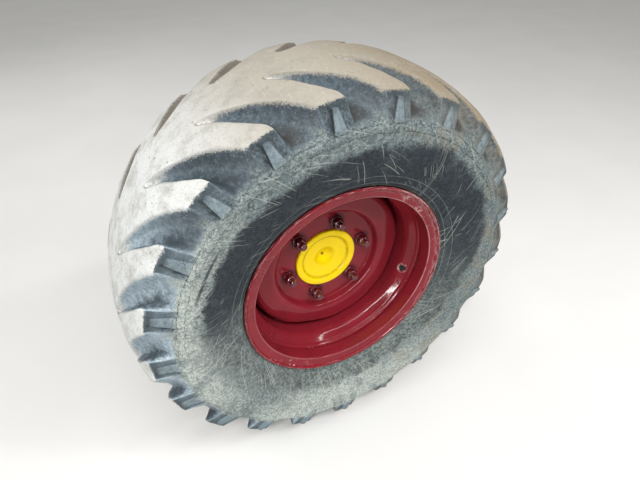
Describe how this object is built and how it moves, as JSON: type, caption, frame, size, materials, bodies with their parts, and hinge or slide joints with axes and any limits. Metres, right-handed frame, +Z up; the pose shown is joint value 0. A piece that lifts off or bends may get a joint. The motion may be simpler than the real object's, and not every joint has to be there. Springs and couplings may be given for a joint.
{
  "type": "loader wheel and axle end",
  "caption": "Worn lugged tractor-tread tyre on a maroon drop-centre rim with a dished yellow hub cap, turning freely on a flanged axle end",
  "frame": {"origin": "centre of the axle end's mounting flange face", "axes": "+Z up, +Y inward along the axle towards the middle of the machine, +X to the right seen from the wheel's outer face"},
  "size_m": [0.971, 0.5645, 0.9708],
  "materials": {
    "tyre_rubber": "matte",
    "maroon_paint": "gloss",
    "yellow_paint": "gloss",
    "bare_steel": "satin",
    "valve_rubber": "matte"
  },
  "bodies": {
    "axle": {"axle_housing": "yellow_paint", "spindle": "bare_steel", "housing_bolts": "yellow_paint"},
    "wheel": {"tyre": "tyre_rubber", "rim": "maroon_paint", "disc": "maroon_paint", "hub": "yellow_paint", "hub_cap": "yellow_paint", "wheel_studs": "maroon_paint", "wheel_nuts": "maroon_paint", "valve": "valve_rubber"}
  },
  "joints": [
    {"name": "wheel_spin", "type": "hinge", "parent": "axle", "child": "wheel", "pos_m": [0, -0.381, 0], "axis": [0, 1, 0], "continuous": true}
  ]
}
